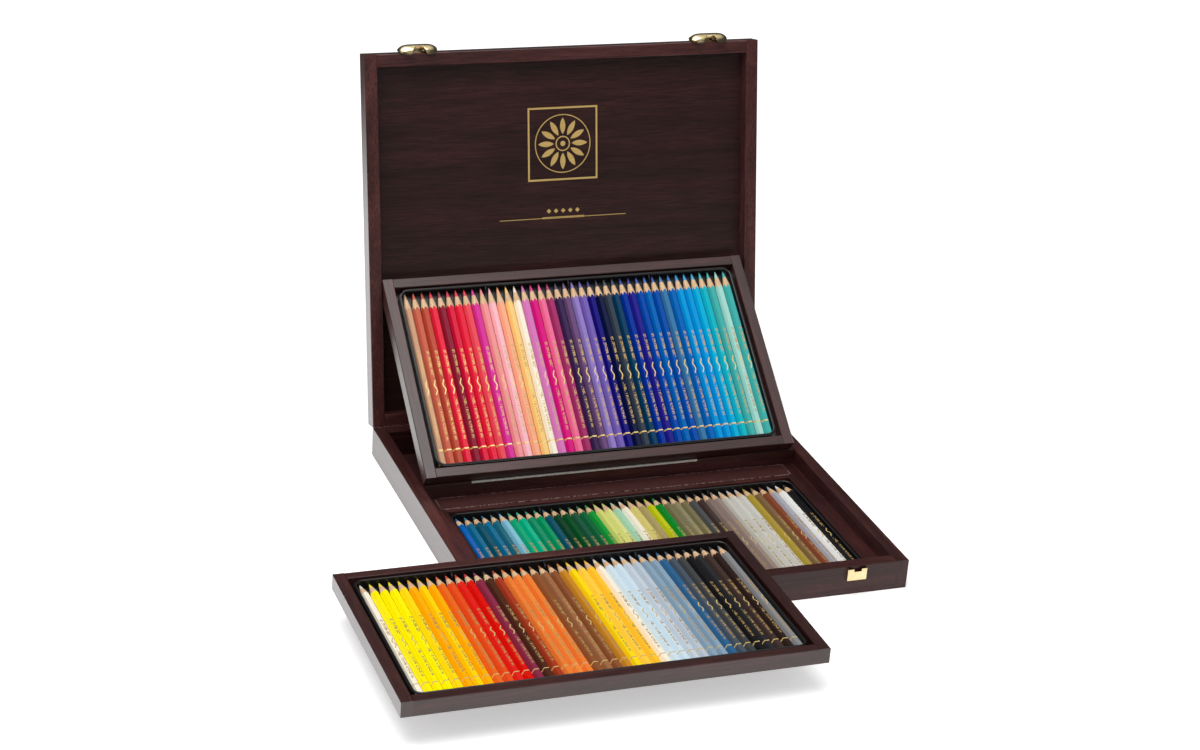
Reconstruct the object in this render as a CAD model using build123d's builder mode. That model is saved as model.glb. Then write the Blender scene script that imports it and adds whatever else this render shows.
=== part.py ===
"""Pencil drawer box: a flat wooden case with a hinged lid, one fixed pencil insert and two
lift-out pencil trays, one leaning on the open lid and one standing on the front rim.

Millimetres, +Z up, the opening side towards -Y. The origin is the centre of the case's
underside.
"""
from build123d import *
import os
from math import acos, cos, degrees, radians, sin, sqrt, tan

# --- case and lid -------------------------------------------------------------
case_width = 380.0
case_depth = 340.0
case_height = 27.0
wall = 11.5                  # thickness of every side and rail of case and lid
base_panel = 3.0             # plywood bottoms of case and trays
lid_panel = 4.0
lid_recess = 12.0            # depth of the lid's hollow, from the rim to the panel
rebate_lap = 4.0             # how far a bottom panel reaches into the boards round it
edge_break = 0.5             # small chamfer on the outer arrises
lid_lean = 12.4              # degrees past upright at the hinge stop
lid_gap = 0.1                # between the lid's lower edge and the hinge line

# --- inside the case ------------------------------------------------------------
ledge_drop = 14.0            # ledge surface below the rim: one tray deep, and a little
front_bay = 207.0            # clear depth of the front compartment
deck_depth = 63.0            # rim-level shelf behind the front compartment
board = 5.0                  # divider and pit wall
deck_board = 4.0
edge_strip_height = 1.7      # bright strip let into the deck's front edge
edge_strip_proud = 0.6
edge_strip_length = 215.0
edge_strip_shift = -26.0
ledge_strip_height = 0.6
ledge_strip_width = 21.0
ledge_strip_margin = 11.0    # from the side ledge's wall
ledge_strip_setback = 0.8    # from the divider's foot

# --- pencils and inserts --------------------------------------------------------
pencil_pitch = 8.03
pencil_flats = 6.8
pencil_length = 175.0
pencil_cone = 19.0           # length of the sharpened cone
pencil_tip = 0.5             # radius of the worn lead point
ledge_least = 15.4           # least width of the ledge beside a full insert
insert_floor = 0.85
insert_height = 8.5
insert_end_wall = 1.6
insert_side_wall = 2.0
insert_corner = 9.0
insert_inner_corner = 1.5
insert_play = 0.5            # pencil ends to the insert's end walls, and the outer pencils
cradle_height = 2.4          # small ridges that keep the pencils apart
cradle_length = 5.0
cradle_inset = 22.0          # ridge rows from each end of the insert

# --- trays ----------------------------------------------------------------------
tray_side = 10.0             # the stiles' width
tray_end = 9.0               # the cross rails' width
tray_height = 13.5
insert_side_gap = 3.0        # insert to the stiles
insert_end_gap = 1.75        # insert to the cross rails
seat = 0.3                   # clearance between pieces that lift apart

display_shift = -2.0         # the leaning tray's centre, in x
heel_setback = 1.0           # its heel behind the deck's front edge
front_tray_x = -126.5
front_tray_overhang = 142.9  # how far the front tray stands out over the case's front

# --- hinges -----------------------------------------------------------------------
hinge_inset = 80.0           # the case's end to the middle of a hinge
hinge_length = 50.0
hinge_leaf = 9.0
hinge_leaf_thickness = 1.0
knuckles = 5
knuckle_radius = 2.2
knuckle_gap = 0.3
hinge_pin_radius = 0.9
pin_clearance = 0.05
hinge_relief = 0.4

# --- clasps -----------------------------------------------------------------------
clasp_inset = 49.5           # the case's end to the middle of a clasp
lever_width = 35.0
lever_radius = 7.0           # mean radius of the bow
lever_thickness = 1.6
lever_depth = 3.0            # bow's centre behind the rim
bow_start = -67.5            # degrees, the barrel
bow_end = 105.0              # degrees, the lips over the rim
bow_gap = 14.0               # clear width between the bow's two lobes
bow_arch = 6.5               # rise of the arch between them
bow_lap = 2.6                # how far the bow reaches in over the rim
lobe_radius = 9.0            # rounded corners of the lobes
clasp_plate_width = 30.0
clasp_plate_thickness = 0.8
clasp_plate_below = 2.0      # plate past the barrel, away from the rim
clasp_plate_above = 5.0      # plate past the pin, towards the rim
clasp_barrel_radius = 1.6
clasp_pin_radius = 0.8
clasp_pin_inset = 1.0        # pin's end inside the barrel's end
keeper_width = 18.0
keeper_height = 10.5
keeper_proud = 3.4
keeper_wall = 1.0
keeper_drop = 1.5            # keeper's top below the rim
keeper_notch = 7.0
keeper_notch_depth = 2.4

# --- worked out from the sizes above ------------------------------------------------
lid_thickness = lid_recess + lid_panel
ledge_z = case_height - ledge_drop
bay_end = wall + front_bay
deck_end = bay_end + deck_depth
inner_half = case_width / 2 - wall
pencil_corners = pencil_flats * 2 / sqrt(3)
row_room = 2 * (inner_half - ledge_least - insert_play - insert_side_wall) - pencil_corners
pencils_per_row = 1 + int(row_room / pencil_pitch)
row_length = (pencils_per_row - 1) * pencil_pitch + pencil_corners
insert_width = row_length + 2 * (insert_play + insert_side_wall)
insert_depth = pencil_length + 2 * (insert_play + insert_end_wall)
tray_width = insert_width + 2 * (insert_side_gap + tray_side)
tray_depth = insert_depth + 2 * (insert_end_gap + tray_end)
hinge_x = (hinge_inset - case_width / 2, case_width / 2 - hinge_inset)
clasp_x = (clasp_inset - case_width / 2, case_width / 2 - clasp_inset)
lean = radians(lid_lean)
lid_up = Vector(0, sin(lean), cos(lean))
lid_out = Vector(0, -cos(lean), sin(lean))
hinge_line = Vector(0, case_depth / 2, case_height)
front_face = -case_depth / 2
heel = Vector(display_shift, front_face + bay_end + heel_setback, case_height + seat)
# The leaning tray stands on its heel, with its back edge against the lid's panel.
heel_reach = lid_recess - seat + (heel - hinge_line).dot(lid_out)
tilt = acos(heel_reach / tray_depth) - lean
tray_out = Vector(0, -sin(tilt), cos(tilt))

# Each frame is drawn on a plane whose origin is the middle of its front lower edge, with
# local x to the right, y along its depth and z out of its open side.
case_plane = Plane(origin=(0, front_face, 0))
lid_plane = Plane(origin=hinge_line - lid_out * lid_thickness, x_dir=(1, 0, 0), z_dir=lid_out)
display_plane = Plane(origin=heel, x_dir=(1, 0, 0), z_dir=tray_out)
front_plane = Plane(
    origin=(front_tray_x, front_face - front_tray_overhang, case_height + seat))


def keep(piece, label):
    """Names a finished piece and writes it."""
    piece.label = label
    os.makedirs("parts", exist_ok=True)
    export_step(piece, f"parts/{label}.step")


def block(plane, x, y, z, mode=Mode.ADD):
    """A straight board between pairs of local x, y and z on a plane."""
    with BuildSketch(plane.offset(z[0])) as face:
        with Locations(((x[0] + x[1]) / 2, (y[0] + y[1]) / 2)):
            Rectangle(x[1] - x[0], y[1] - y[0])
    extrude(face.sketch, amount=z[1] - z[0], mode=mode)


def frame_spans(width, depth, side, end, start):
    """Local x and y of a butt-jointed frame: two full-depth sides with two rails between."""
    half = width / 2
    return {
        "left_side": ((-half, side - half), (start, depth)),
        "right_side": ((half - side, half), (start, depth)),
        "front_rail": ((side - half, half - side), (start, end)),
        "back_rail": ((side - half, half - side), (depth - end, depth)),
    }


def beside(flat, edge, hinged):
    """Whether an edge lies at the hinged local y, where lid and case close up to each other."""
    return hinged is not None and abs(flat.to_local_coords(edge.center()).Y - hinged) < 1e-4


def break_edges(plane, part, height, hinged):
    """Chamfers a board's long upper arrises, but not the hinged one, at that local y."""
    flat = plane.offset(height)
    edges = part.edges().filter_by(lambda e: abs(flat.to_local_coords(e.center()).Z) < 1e-4)
    longest = edges.sort_by(SortBy.LENGTH)[-2:]
    chamfer([e for e in longest if not beside(flat, e, hinged)], edge_break)


def frame_board(plane, span, height, panel_span, panel, hinged=None):
    """One board of a frame, with the stopped rebate that takes the bottom panel."""
    with BuildPart() as piece:
        block(plane, span[0], span[1], (0, height))
        block(plane, panel_span[0], panel_span[1], (0, panel), mode=Mode.SUBTRACT)
        break_edges(plane, piece.part, height, hinged)
    return piece.part


def panel_reach(width, depth, side, end):
    """Local x and y that a bottom panel covers, laps included."""
    half = width / 2 - side + rebate_lap
    return (-half, half), (end - rebate_lap, depth - end + rebate_lap)


# --- case -----------------------------------------------------------------------------
case_spans = frame_spans(case_width, case_depth, wall, wall, 0)
case_panel = panel_reach(case_width, case_depth, wall, wall)
for name in ("left_side", "right_side", "front_rail"):
    keep(frame_board(case_plane, case_spans[name], case_height, case_panel, base_panel),
         f"case_{name}")

hinge_plane = Plane(origin=hinge_line, x_dir=(0, 1, 0), z_dir=(1, 0, 0))
mortise = hinge_leaf_thickness + 0.1
with BuildPart() as case_back_rail:
    add(frame_board(case_plane, case_spans["back_rail"], case_height, case_panel, base_panel,
                    hinged=case_depth))
    for x in hinge_x:
        reach = (x - hinge_length / 2 - knuckle_gap, x + hinge_length / 2 + knuckle_gap)
        block(case_plane, reach, (case_depth - hinge_leaf - knuckle_gap, case_depth),
              (case_height - mortise, case_height), mode=Mode.SUBTRACT)
        with BuildSketch(hinge_plane.offset(reach[0])):
            Circle(knuckle_radius + hinge_relief)
        extrude(amount=reach[1] - reach[0], mode=Mode.SUBTRACT)
keep(case_back_rail.part, "case_back_rail")

with BuildPart() as case_bottom:
    block(case_plane, case_panel[0], case_panel[1], (0, base_panel))
keep(case_bottom.part, "case_bottom")

# The ledge round the fixed insert carries a stored tray with its top flush with the rim.
insert_y = wall + seat
opening_half = insert_width / 2 + seat
opening_end = insert_y + insert_depth + seat
for name, x in (("ledge_left", (-inner_half, -opening_half)),
                ("ledge_right", (opening_half, inner_half))):
    with BuildPart() as ledge:
        block(case_plane, x, (wall, bay_end), (base_panel, ledge_z))
    keep(ledge.part, name)

with BuildPart() as ledge_back:
    block(case_plane, (-opening_half, opening_half), (opening_end, bay_end),
          (base_panel, ledge_z))
keep(ledge_back.part, "ledge_back")

strip_end = bay_end - ledge_strip_setback
with BuildPart() as ledge_strip:
    block(case_plane, (ledge_strip_margin - inner_half, inner_half - ledge_strip_margin),
          (strip_end - ledge_strip_width, strip_end), (ledge_z, ledge_z + ledge_strip_height))
keep(ledge_strip.part, "ledge_strip")

# The bright strip is let into the top front arris of the divider.
strip_x = (edge_strip_shift - edge_strip_length / 2, edge_strip_shift + edge_strip_length / 2)
strip_y = (bay_end - edge_strip_proud, bay_end + edge_strip_proud)
strip_z = (case_height - edge_strip_height, case_height)
with BuildPart() as divider:
    block(case_plane, (-inner_half, inner_half), (bay_end, bay_end + board),
          (base_panel, case_height))
    block(case_plane, strip_x, strip_y, strip_z, mode=Mode.SUBTRACT)
keep(divider.part, "divider")

with BuildPart() as deck_edge_strip:
    block(case_plane, strip_x, strip_y, strip_z)
keep(deck_edge_strip.part, "deck_edge_strip")

with BuildPart() as deck:
    block(case_plane, (-inner_half, inner_half), (bay_end + board, deck_end),
          (case_height - deck_board, case_height))
    chamfer(deck.edges().group_by(Axis.Z)[-1].sort_by(Axis.Y)[-1], edge_break)
keep(deck.part, "deck")

with BuildPart() as pit_wall:
    block(case_plane, (-inner_half, inner_half), (deck_end - board, deck_end),
          (base_panel, case_height - deck_board))
keep(pit_wall.part, "pit_wall")

# --- lid ------------------------------------------------------------------------------
lid_spans = frame_spans(case_width, case_depth, wall, wall, lid_gap)
lid_reach = panel_reach(case_width, case_depth, wall, wall)
for name in ("left_side", "right_side"):
    keep(frame_board(lid_plane, lid_spans[name], lid_thickness, lid_reach, lid_panel),
         f"lid_{name}")
keep(frame_board(lid_plane, lid_spans["back_rail"], lid_thickness, lid_reach, lid_panel),
     "lid_front_rail")

with BuildPart() as lid_hinge_rail:
    add(frame_board(lid_plane, lid_spans["front_rail"], lid_thickness, lid_reach, lid_panel,
                    hinged=lid_gap))
    for x in hinge_x:
        reach = (x - hinge_length / 2 - knuckle_gap, x + hinge_length / 2 + knuckle_gap)
        block(lid_plane, reach, (0, hinge_leaf + knuckle_gap),
              (lid_thickness - mortise, lid_thickness), mode=Mode.SUBTRACT)
        with BuildSketch(hinge_plane.offset(reach[0])):
            Circle(knuckle_radius + hinge_relief)
        extrude(amount=reach[1] - reach[0], mode=Mode.SUBTRACT)
keep(lid_hinge_rail.part, "lid_hinge_rail")

with BuildPart() as lid_top:
    block(lid_plane, lid_reach[0], lid_reach[1], (0, lid_panel))
keep(lid_top.part, "lid_panel")

# --- hinges: knuckles turn about the line where the case's and the lid's edges meet ------
knuckle_length = hinge_length / knuckles
rim_plane = lid_plane.offset(lid_thickness)


def leaf(plane, outwards, owned):
    """Both hinges' leaves on one side: plates let in flush, with the knuckles they own."""
    with BuildPart() as leaves:
        for x in hinge_x:
            clear = knuckle_radius + knuckle_gap
            block(plane, (x - hinge_length / 2, x + hinge_length / 2),
                  sorted((outwards * clear, outwards * hinge_leaf)),
                  (-mortise, -mortise + hinge_leaf_thickness))
            for index in owned:
                start = x - hinge_length / 2 + index * knuckle_length + knuckle_gap / 2
                end = start + knuckle_length - knuckle_gap
                block(plane, (start, end), sorted((0, outwards * clear)),
                      (-mortise, -mortise + hinge_leaf_thickness))
                with BuildSketch(hinge_plane.offset(start)):
                    Circle(knuckle_radius)
                extrude(amount=end - start)
            with BuildSketch(hinge_plane.offset(x - hinge_length / 2)):
                Circle(hinge_pin_radius + pin_clearance)
            extrude(amount=hinge_length, mode=Mode.SUBTRACT)
    return leaves.part


edge_plane = Plane(origin=hinge_line)
keep(leaf(edge_plane, -1, range(0, knuckles, 2)), "hinge_case_leaves")
keep(leaf(rim_plane, 1, range(1, knuckles, 2)), "hinge_lid_leaves")

with BuildPart() as hinge_pins:
    for x in hinge_x:
        with BuildSketch(hinge_plane.offset(x - hinge_length / 2)):
            Circle(hinge_pin_radius)
        extrude(amount=hinge_length)
keep(hinge_pins.part, "hinge_pins")

# --- clasps: a sprung-looking bow that swings on the lid and hooks over a keeper -----------
clasp_u = case_depth + clasp_plate_thickness + seat + clasp_barrel_radius
bow_centre = (case_depth, -lever_depth)
pin_v = -lever_depth + lever_radius * sin(radians(bow_start))
side_plane = Plane(origin=hinge_line, x_dir=lid_up, z_dir=(1, 0, 0))
face_plane = Plane(origin=hinge_line, x_dir=(1, 0, 0), z_dir=lid_out)
outer = lever_radius + lever_thickness / 2
bow_low = case_depth - bow_lap
bow_top = case_depth + outer
clear_through = 4 * lever_radius


def bow_point(radius, angle):
    """A point at an angle round the bow's centre, as side-view coordinates."""
    return (bow_centre[0] + radius * cos(radians(angle)),
            bow_centre[1] + radius * sin(radians(angle)))


for label, x in (("clasp_lever_left", clasp_x[0]), ("clasp_lever_right", clasp_x[1])):
    inner = outer - lever_thickness
    middle = (bow_start + bow_end) / 2
    with BuildPart() as lever:
        with BuildSketch(side_plane.offset(x - lever_width / 2)):
            with BuildLine():
                ThreePointArc(bow_point(outer, bow_start), bow_point(outer, middle),
                              bow_point(outer, bow_end))
                Line(bow_point(outer, bow_end), bow_point(inner, bow_end))
                ThreePointArc(bow_point(inner, bow_end), bow_point(inner, middle),
                              bow_point(inner, bow_start))
                Line(bow_point(inner, bow_start), bow_point(outer, bow_start))
            make_face()
            with Locations((clasp_u, pin_v)):
                Circle(clasp_barrel_radius)
        extrude(amount=lever_width)
        # The front view's outline: two rounded lobes with an arched gap between them.
        with BuildSketch(face_plane.offset(lever_radius)):
            with BuildLine():
                half = lever_width / 2
                FilletPolyline((x - half, bow_low), (x - half, bow_top), (x + half, bow_top),
                               (x + half, bow_low), radius=lobe_radius, close=False)
                Line((x + half, bow_low), (x - half, bow_low))
            make_face()
            with Locations((x, bow_low)):
                Ellipse(bow_gap / 2, bow_arch, mode=Mode.SUBTRACT)
        extrude(amount=-clear_through, mode=Mode.INTERSECT)
        # The barrel is open in the middle for the plate's knuckle.
        with BuildSketch(side_plane.offset(x - bow_gap / 2)):
            with Locations((clasp_u, pin_v)):
                Rectangle(clear_through, lever_radius)
        extrude(amount=bow_gap, mode=Mode.SUBTRACT)
        with BuildSketch(side_plane.offset(x - lever_width / 2)):
            with Locations((clasp_u, pin_v)):
                Circle(clasp_pin_radius + pin_clearance)
        extrude(amount=lever_width, mode=Mode.SUBTRACT)
    keep(lever.part, label)

plate_v = (pin_v - clasp_barrel_radius - clasp_plate_below, pin_v + clasp_plate_above)
knuckle_half = bow_gap / 2 - knuckle_gap
with BuildPart() as clasp_plates:
    for x in clasp_x:
        with BuildSketch(side_plane.offset(x - clasp_plate_width / 2)):
            with Locations((case_depth + clasp_plate_thickness / 2, sum(plate_v) / 2)):
                Rectangle(clasp_plate_thickness, plate_v[1] - plate_v[0])
        extrude(amount=clasp_plate_width)
        with BuildSketch(side_plane.offset(x - knuckle_half)):
            with Locations((clasp_u, pin_v)):
                Circle(clasp_barrel_radius)
            with Locations(((case_depth + clasp_u) / 2, pin_v)):
                Rectangle(clasp_u - case_depth, 2 * clasp_barrel_radius)
        extrude(amount=2 * knuckle_half)
        with BuildSketch(side_plane.offset(x - knuckle_half)):
            with Locations((clasp_u, pin_v)):
                Circle(clasp_pin_radius + pin_clearance)
        extrude(amount=2 * knuckle_half, mode=Mode.SUBTRACT)
keep(clasp_plates.part, "clasp_plates")

with BuildPart() as clasp_pins:
    for x in clasp_x:
        with BuildSketch(side_plane.offset(x - lever_width / 2 + clasp_pin_inset)):
            with Locations((clasp_u, pin_v)):
                Circle(clasp_pin_radius)
        extrude(amount=lever_width - 2 * clasp_pin_inset)
keep(clasp_pins.part, "clasp_pins")

# Each keeper is a folded pocket on the case's front, notched for the bow's hook.
keeper_z = (case_height - keeper_drop - keeper_height, case_height - keeper_drop)
with BuildPart() as keepers:
    for x in clasp_x:
        half = keeper_width / 2
        block(case_plane, (x - half, x + half), (-keeper_proud, 0), keeper_z)
    chamfer(keepers.edges().filter_by(Axis.Z).group_by(Axis.Y)[0], edge_break)
    for x in clasp_x:
        half = keeper_width / 2 - keeper_wall
        block(case_plane, (x - half, x + half), (keeper_wall - keeper_proud, 0),
              (keeper_z[0] + keeper_wall, keeper_z[1]), mode=Mode.SUBTRACT)
        block(case_plane, (x - keeper_notch / 2, x + keeper_notch / 2), (-keeper_proud, 0),
              (keeper_z[1] - keeper_notch_depth, keeper_z[1]), mode=Mode.SUBTRACT)
keep(keepers.part, "clasp_keepers")

# --- one pencil: a hexagonal barrel lying flat side up, cut by the sharpener's cone --------
with BuildPart() as pencil:
    with BuildSketch(Plane.XZ):
        with Locations((0, pencil_flats / 2)):
            RegularPolygon(radius=pencil_corners / 2, side_count=6)
    extrude(amount=-pencil_length)
    with BuildSketch(Plane.YZ):
        with BuildLine():
            reach = pencil_corners
            slope = (pencil_corners / 2 - pencil_tip) / pencil_cone
            back = pencil_length - pencil_cone - (reach - pencil_corners / 2) / slope
            Polyline((0, pencil_flats / 2), (0, pencil_flats / 2 + reach),
                     (back, pencil_flats / 2 + reach),
                     (pencil_length, pencil_flats / 2 + pencil_tip),
                     (pencil_length, pencil_flats / 2), close=True)
        make_face()
    revolve(axis=Axis((0, 0, pencil_flats / 2), (0, 1, 0)), mode=Mode.INTERSECT)


def pencil_group(plane, first, last):
    """Neighbouring pencils of one family of colours, in an insert on the given plane."""
    with BuildPart() as group:
        for index in range(first, last):
            across = (index - (pencils_per_row - 1) / 2) * pencil_pitch
            start = insert_end_wall + insert_play
            spot = plane.from_local_coords(Vector(across, start, insert_floor))
            add(Plane(origin=spot, x_dir=plane.x_dir, z_dir=plane.z_dir).location * pencil.part)
    return group.part


def insert_tray(plane):
    """A thin black insert: rounded corners, an open hollow and rows of cradle ridges."""
    half = insert_width / 2
    ridge_half = cradle_height / tan(radians(60))
    with BuildPart() as piece:
        with BuildSketch(plane):
            with Locations((0, insert_depth / 2)):
                RectangleRounded(insert_width, insert_depth, insert_corner)
        extrude(amount=insert_height)
        with BuildSketch(plane.offset(insert_floor)):
            with Locations((0, insert_depth / 2)):
                RectangleRounded(2 * (half - insert_side_wall),
                                 insert_depth - 2 * insert_end_wall,
                                 insert_inner_corner)
        extrude(amount=insert_height, mode=Mode.SUBTRACT)
        for start in (cradle_inset, insert_depth - cradle_inset - cradle_length):
            row = Plane(origin=plane.from_local_coords(Vector(0, start, insert_floor)),
                        x_dir=plane.x_dir, z_dir=-plane.y_dir)
            with BuildSketch(row):
                with GridLocations(pencil_pitch, 1, pencils_per_row - 1, 1):
                    Polygon((-ridge_half, 0), (ridge_half, 0), (0, cradle_height), align=None)
            extrude(amount=-cradle_length)
    return piece.part


# Colour families along each row, by their shares of the row; here a share is one pencil.
rows = {
    "base": (("sea_blues", 6), ("greens", 11), ("limes", 7), ("olives_and_umbers", 8),
             ("greys_and_earths", 8)),
    "display": (("reds", 8), ("pinks", 10), ("violets", 7), ("blues", 8), ("cyans", 7)),
    "front": (("yellows", 8), ("reds", 8), ("browns", 9), ("ochres_and_pales", 8),
              ("slates_and_blacks", 7)),
}
insert_planes = {
    "base": Plane(origin=case_plane.from_local_coords(Vector(0, insert_y, base_panel))),
    "display": Plane(origin=display_plane.from_local_coords(
        Vector(0, tray_end + insert_end_gap, base_panel + seat)),
        x_dir=(1, 0, 0), z_dir=tray_out),
    "front": Plane(origin=front_plane.from_local_coords(
        Vector(0, tray_end + insert_end_gap, base_panel + seat))),
}
for row, families in rows.items():
    keep(insert_tray(insert_planes[row]), f"{row}_insert")
    shares = [share for _, share in families]
    for place, (family, share) in enumerate(families):
        first = round(pencils_per_row * sum(shares[:place]) / sum(shares))
        last = round(pencils_per_row * sum(shares[:place + 1]) / sum(shares))
        keep(pencil_group(insert_planes[row], first, last), f"{row}_{family}")

# --- the two lift-out trays -----------------------------------------------------------------
tray_spans = frame_spans(tray_width, tray_depth, tray_side, tray_end, 0)
tray_reach = panel_reach(tray_width, tray_depth, tray_side, tray_end)
for prefix, plane in (("display_tray", display_plane), ("front_tray", front_plane)):
    for name, span in tray_spans.items():
        keep(frame_board(plane, span, tray_height, tray_reach, base_panel), f"{prefix}_{name}")
    with BuildPart() as tray_bottom:
        block(plane, tray_reach[0], tray_reach[1], (0, base_panel))
    keep(tray_bottom.part, f"{prefix}_bottom")

print(f"tray {tray_width:.2f} x {tray_depth:.2f}, insert {insert_width:.2f} x {insert_depth:.2f}")
print(f"leaning tray {degrees(tilt):.3f} degrees above level, heel at {tuple(heel)}")
print("clasp pin", side_plane.from_local_coords(Vector(clasp_u, pin_v, 0)))
print("hinge line", hinge_line)
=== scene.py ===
"""Looks for a pencil drawer box: stained boards, black inserts, brass fittings and three rows of pencils."""

import math

import bmesh
import bpy
from bpy.props import FloatProperty, IntProperty, PointerProperty, StringProperty
from mathutils import Matrix, Vector


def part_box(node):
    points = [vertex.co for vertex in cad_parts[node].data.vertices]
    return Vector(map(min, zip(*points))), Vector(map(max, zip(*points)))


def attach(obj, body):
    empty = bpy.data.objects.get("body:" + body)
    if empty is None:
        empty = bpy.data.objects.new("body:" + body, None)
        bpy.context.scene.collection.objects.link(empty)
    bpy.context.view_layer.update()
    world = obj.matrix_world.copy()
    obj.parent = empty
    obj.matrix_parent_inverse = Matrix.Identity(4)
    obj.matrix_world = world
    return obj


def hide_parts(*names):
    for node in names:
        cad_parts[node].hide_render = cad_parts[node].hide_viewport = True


bl_info = {
    "name": "Pencil Drawer Box",
    "version": (1, 0, 0),
    "blender": (4, 5, 0),
    "location": "View3D > Sidebar > Pencil Box",
    "description": "Finishes a wooden pencil box with drawers, pencils and brass fittings",
    "category": "Object",
}

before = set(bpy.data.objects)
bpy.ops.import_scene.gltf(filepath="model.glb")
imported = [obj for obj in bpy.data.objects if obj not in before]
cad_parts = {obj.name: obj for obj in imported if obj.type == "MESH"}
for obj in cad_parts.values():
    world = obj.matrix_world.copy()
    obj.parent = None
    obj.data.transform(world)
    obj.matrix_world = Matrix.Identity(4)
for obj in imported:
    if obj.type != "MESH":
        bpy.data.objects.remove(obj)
MM = 0.001

# -------------------- places, repeated from the part in millimetres

LID_LEAN = math.radians(12.4)
LID_UP = Vector((0, math.sin(LID_LEAN), math.cos(LID_LEAN)))
LID_OUT = Vector((0, -math.cos(LID_LEAN), math.sin(LID_LEAN)))
HINGE_LINE = Vector((0, 170, 27))
DISPLAY_TILT = math.radians(37.434)
BOW_CENTRE = (340.0, -3.0)          # along LID_UP and LID_OUT from the hinge line
BOW_RADIUS, PIN_REACH = 7.8, 7.0
BOW_FROM, BOW_TO = -67.5, 97.0     # degrees: the barrel, the lips over the rim


def plane_at(x, y, z, tilt=0.0):
    """A matrix in metres for a plane at a point in millimetres, tilted about X."""
    return Matrix.Translation(Vector((x, y, z)) * MM) @ Matrix.Rotation(tilt, 4, "X")


BASE_ROW = plane_at(0, -158.2, 3)
DISPLAY_TRAY = plane_at(-2, 49.5, 27.3, DISPLAY_TILT)
FRONT_TRAY = plane_at(-126.5, -312.9, 27.3)
HINGE_MIDDLES = (-110, 110)
SCREW_SPREAD, SCREW_REACH, SCREW_SINK = 18, 5.75, 0.1     # from a hinge's middle, its line and its leaf's face
FLAT_END, CRADLE_TOP = 2.1, 0.85    # a pencil's flat end and its lower flat in the insert
TRAY_TO_INSERT = Matrix.Translation(Vector((0, 10.75, 3.3)) * MM)
LID_PLANE = Matrix.Translation(HINGE_LINE * MM) @ Matrix.Rotation(math.pi / 2 - LID_LEAN, 4, "X")

ROWS = {
    "base": (BASE_ROW, "case", (
        ("sea_blues", 6), ("greens", 11), ("limes", 7), ("olives_and_umbers", 8), ("greys_and_earths", 8))),
    "display": (DISPLAY_TRAY @ TRAY_TO_INSERT, "display_row", (
        ("reds", 8), ("pinks", 10), ("violets", 7), ("blues", 8), ("cyans", 7))),
    "front": (FRONT_TRAY @ TRAY_TO_INSERT, "front_row", (
        ("yellows", 8), ("reds", 8), ("browns", 9), ("ochres_and_pales", 8), ("slates_and_blacks", 7))),
}

# -------------------- lacquer colours of the pencils

# Everyday pigment colours, chosen by name and judged.
PIGMENTS = {
    "white": "#F2F2EE", "ivory": "#FBF1DC", "lemon": "#FFF000", "canary": "#FFDD10", "gold": "#FFC830",
    "amber": "#FFB000", "maize": "#FBD080", "apricot": "#FBB08C", "tangerine": "#F08A3C", "orange": "#EB6A20",
    "vermilion": "#E8501E", "scarlet": "#E32219", "carmine": "#E8213F", "crimson": "#DC143C",
    "geranium": "#EC4C5C", "burgundy": "#8C1C34", "terracotta": "#C8604A", "salmon": "#F4989A",
    "blush": "#FBBEC6", "rose": "#F2709C", "fuchsia": "#D83098", "magenta": "#DC1480", "orchid": "#D87ABE",
    "mulberry": "#A23068", "grape": "#8A2C48", "aubergine": "#3A2450", "plum": "#6A4A78", "lavender": "#927CC4",
    "violet": "#7660B4", "ultramarine": "#231E8C", "navy": "#0A1440", "prussian": "#003A5E",
    "cobalt": "#0047AB", "azure": "#0064B8", "steel": "#3A78A8", "cerulean": "#0098DC", "cyan": "#00B0DC",
    "turquoise": "#10B8C8", "verdigris": "#43B3AE", "sky": "#84C4DA", "aquamarine": "#A8DED4",
    "peacock": "#0A6E94", "petrol": "#0A5468", "jade": "#00A878", "viridian": "#0E9068", "bottle": "#12683C",
    "fir": "#1E5A40", "leaf": "#189C3C", "mint": "#ACD8BC", "lime": "#D8DC78", "chartreuse": "#C4CC10",
    "straw": "#D8CC78", "khaki": "#B0A068", "olive": "#7C7450", "old_gold": "#B09838", "ochre": "#CC8A28",
    "buff": "#CC9C7C", "sienna": "#8E5430", "brick": "#A83A20", "chestnut": "#8A4A30", "raw_umber": "#826644",
    "umber": "#4E2A1C", "sepia": "#443430", "taupe": "#9A8880", "pebble": "#C8C6BC", "silver": "#B0B0B8",
    "grey": "#8A8A8C", "iron": "#505050", "graphite": "#444648", "slate": "#4A5664", "denim": "#2E6490",
    "dove": "#8AA4B8", "mist": "#BCC8D4", "ice": "#D2E4EE", "black": "#1A1A1C",
}

# Each row from left to right; a + or - after a pigment is a step lighter or darker.
ROW_COLOURS = {
    "base": """azure peacock petrol peacock petrol+ sky
        jade jade+ viridian jade- petrol fir- bottle- fir bottle leaf lime
        lime+ mint ivory straw khaki chartreuse leaf-
        olive olive+ olive iron sepia taupe- taupe pebble
        pebble+ pebble+ old_gold raw_umber chestnut silver white black""".split(),
    "display": """buff terracotta terracotta- carmine burgundy crimson carmine geranium
        fuchsia salmon blush apricot maize ivory orchid magenta rose mulberry
        aubergine plum lavender violet ultramarine- navy slate-
        prussian cobalt- ultramarine cobalt azure azure- steel azure
        cerulean cerulean cyan turquoise verdigris aquamarine verdigris""".split(),
    "front": """ivory lemon lemon lemon+ canary amber canary- amber
        orange vermilion scarlet scarlet- grape umber brick orange+
        tangerine orange+ sienna sienna+ sienna ochre canary gold+ gold
        ivory ice ice mist+ mist dove dove denim
        slate graphite black black+ sepia sepia- grey""".split(),
}


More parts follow.
